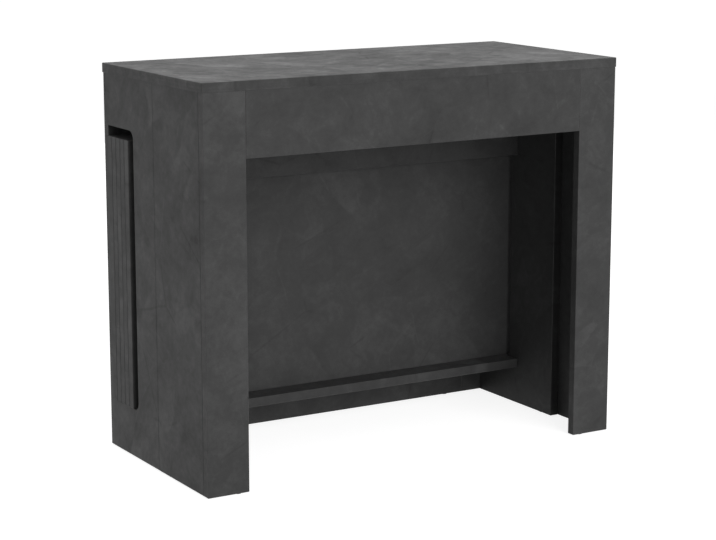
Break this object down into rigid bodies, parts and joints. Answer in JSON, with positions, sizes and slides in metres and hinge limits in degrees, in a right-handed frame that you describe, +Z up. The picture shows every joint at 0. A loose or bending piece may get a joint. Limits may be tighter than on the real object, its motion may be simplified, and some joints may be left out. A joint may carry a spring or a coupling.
{
  "type": "extending console table",
  "caption": "Narrow console table with a pull-out front portal on telescopic rails and loose leaves stored on edge behind the knee space, extending to a long dining table.",
  "frame": {"origin": "on the floor under the middle of the closed table", "axes": "+Z up, +X along the table's width to the right, the front and the pull-out direction along -Y"},
  "size_m": [0.9, 0.42, 0.75],
  "materials": {
    "board": "dark grey concrete-look melamine, satin-matt",
    "rail_aluminium": "natural anodised extrusion",
    "nylon": "black nylon",
    "bracket_steel": "zinc-plated bent steel",
    "glide_plastic": "black plastic"
  },
  "bodies": {
    "carcass": {"top_panel": "board", "left_outer_side": "board", "right_outer_side": "board", "left_inner_side": "board", "right_inner_side": "board", "left_rear_stile": "board", "right_rear_stile": "board", "back_panel": "board", "leaf_stop_rail": "board", "leaf_shelf": "board", "fixed_left_rail": "rail_aluminium", "fixed_right_rail": "rail_aluminium", "fixed_rail_guides": "nylon", "top_brackets": "bracket_steel", "carcass_glides": "glide_plastic"},
    "front_portal": {"left_front_leg": "board", "right_front_leg": "board", "left_leg_return": "board", "right_leg_return": "board", "fascia": "board", "portal_batten": "board", "portal_left_rail": "rail_aluminium", "portal_right_rail": "rail_aluminium", "portal_rail_shoes": "nylon", "rail_brackets": "bracket_steel", "portal_glides": "glide_plastic"},
    "stage_1": {"stage_1_left_rail": "rail_aluminium", "stage_1_right_rail": "rail_aluminium", "stage_1_slides": "nylon", "stage_1_cross_bar": "rail_aluminium"},
    "stage_2": {"stage_2_left_rail": "rail_aluminium", "stage_2_right_rail": "rail_aluminium", "stage_2_slides": "nylon", "stage_2_cross_bar": "rail_aluminium"},
    "stage_3": {"stage_3_left_rail": "rail_aluminium", "stage_3_right_rail": "rail_aluminium", "stage_3_slides": "nylon", "stage_3_cross_bar": "rail_aluminium"},
    "stage_4": {"stage_4_left_rail": "rail_aluminium", "stage_4_right_rail": "rail_aluminium", "stage_4_slides": "nylon", "stage_4_cross_bar": "rail_aluminium"},
    "stage_5": {"stage_5_left_rail": "rail_aluminium", "stage_5_right_rail": "rail_aluminium", "stage_5_slides": "nylon", "stage_5_cross_bar": "rail_aluminium"},
    "stage_6": {"stage_6_left_rail": "rail_aluminium", "stage_6_right_rail": "rail_aluminium", "stage_6_slides": "nylon", "stage_6_cross_bar": "rail_aluminium"},
    "stage_7": {"stage_7_left_rail": "rail_aluminium", "stage_7_right_rail": "rail_aluminium", "stage_7_slides": "nylon", "stage_7_cross_bar": "rail_aluminium"},
    "leaf_1": {"leaf_1": "board"},
    "leaf_2": {"leaf_2": "board"},
    "leaf_3": {"leaf_3": "board"},
    "leaf_4": {"leaf_4": "board"},
    "leaf_5": {"leaf_5": "board"}
  },
  "joints": [
    {"name": "portal_pull_out", "type": "slide", "parent": "carcass", "child": "front_portal", "axis": [0, -1, 0], "range_m": [0, 2.58]},
    {"name": "stage_1_slide", "type": "slide", "parent": "carcass", "child": "stage_1", "axis": [0, -1, 0], "range_m": [0, 0.3225]},
    {"name": "stage_2_slide", "type": "slide", "parent": "carcass", "child": "stage_2", "axis": [0, -1, 0], "range_m": [0, 0.645]},
    {"name": "stage_3_slide", "type": "slide", "parent": "carcass", "child": "stage_3", "axis": [0, -1, 0], "range_m": [0, 0.9675]},
    {"name": "stage_4_slide", "type": "slide", "parent": "carcass", "child": "stage_4", "axis": [0, -1, 0], "range_m": [0, 1.29]},
    {"name": "stage_5_slide", "type": "slide", "parent": "carcass", "child": "stage_5", "axis": [0, -1, 0], "range_m": [0, 1.6125]},
    {"name": "stage_6_slide", "type": "slide", "parent": "carcass", "child": "stage_6", "axis": [0, -1, 0], "range_m": [0, 1.935]},
    {"name": "stage_7_slide", "type": "slide", "parent": "carcass", "child": "stage_7", "axis": [0, -1, 0], "range_m": [0, 2.2575]},
    {"name": "leaf_1_draw", "type": "slide", "parent": "carcass", "child": "leaf_1", "axis": [1, 0, 0], "range_m": [-0.92, 0.92]},
    {"name": "leaf_2_draw", "type": "slide", "parent": "carcass", "child": "leaf_2", "axis": [1, 0, 0], "range_m": [-0.92, 0.92]},
    {"name": "leaf_3_draw", "type": "slide", "parent": "carcass", "child": "leaf_3", "axis": [1, 0, 0], "range_m": [-0.92, 0.92]},
    {"name": "leaf_4_draw", "type": "slide", "parent": "carcass", "child": "leaf_4", "axis": [1, 0, 0], "range_m": [-0.92, 0.92]},
    {"name": "leaf_5_draw", "type": "slide", "parent": "carcass", "child": "leaf_5", "axis": [1, 0, 0], "range_m": [-0.92, 0.92]}
  ],
  "couplings": [
    {"joint": "stage_1_slide", "follows": "portal_pull_out", "ratio": 0.125},
    {"joint": "stage_2_slide", "follows": "portal_pull_out", "ratio": 0.25},
    {"joint": "stage_3_slide", "follows": "portal_pull_out", "ratio": 0.375},
    {"joint": "stage_4_slide", "follows": "portal_pull_out", "ratio": 0.5},
    {"joint": "stage_5_slide", "follows": "portal_pull_out", "ratio": 0.625},
    {"joint": "stage_6_slide", "follows": "portal_pull_out", "ratio": 0.75},
    {"joint": "stage_7_slide", "follows": "portal_pull_out", "ratio": 0.875}
  ]
}
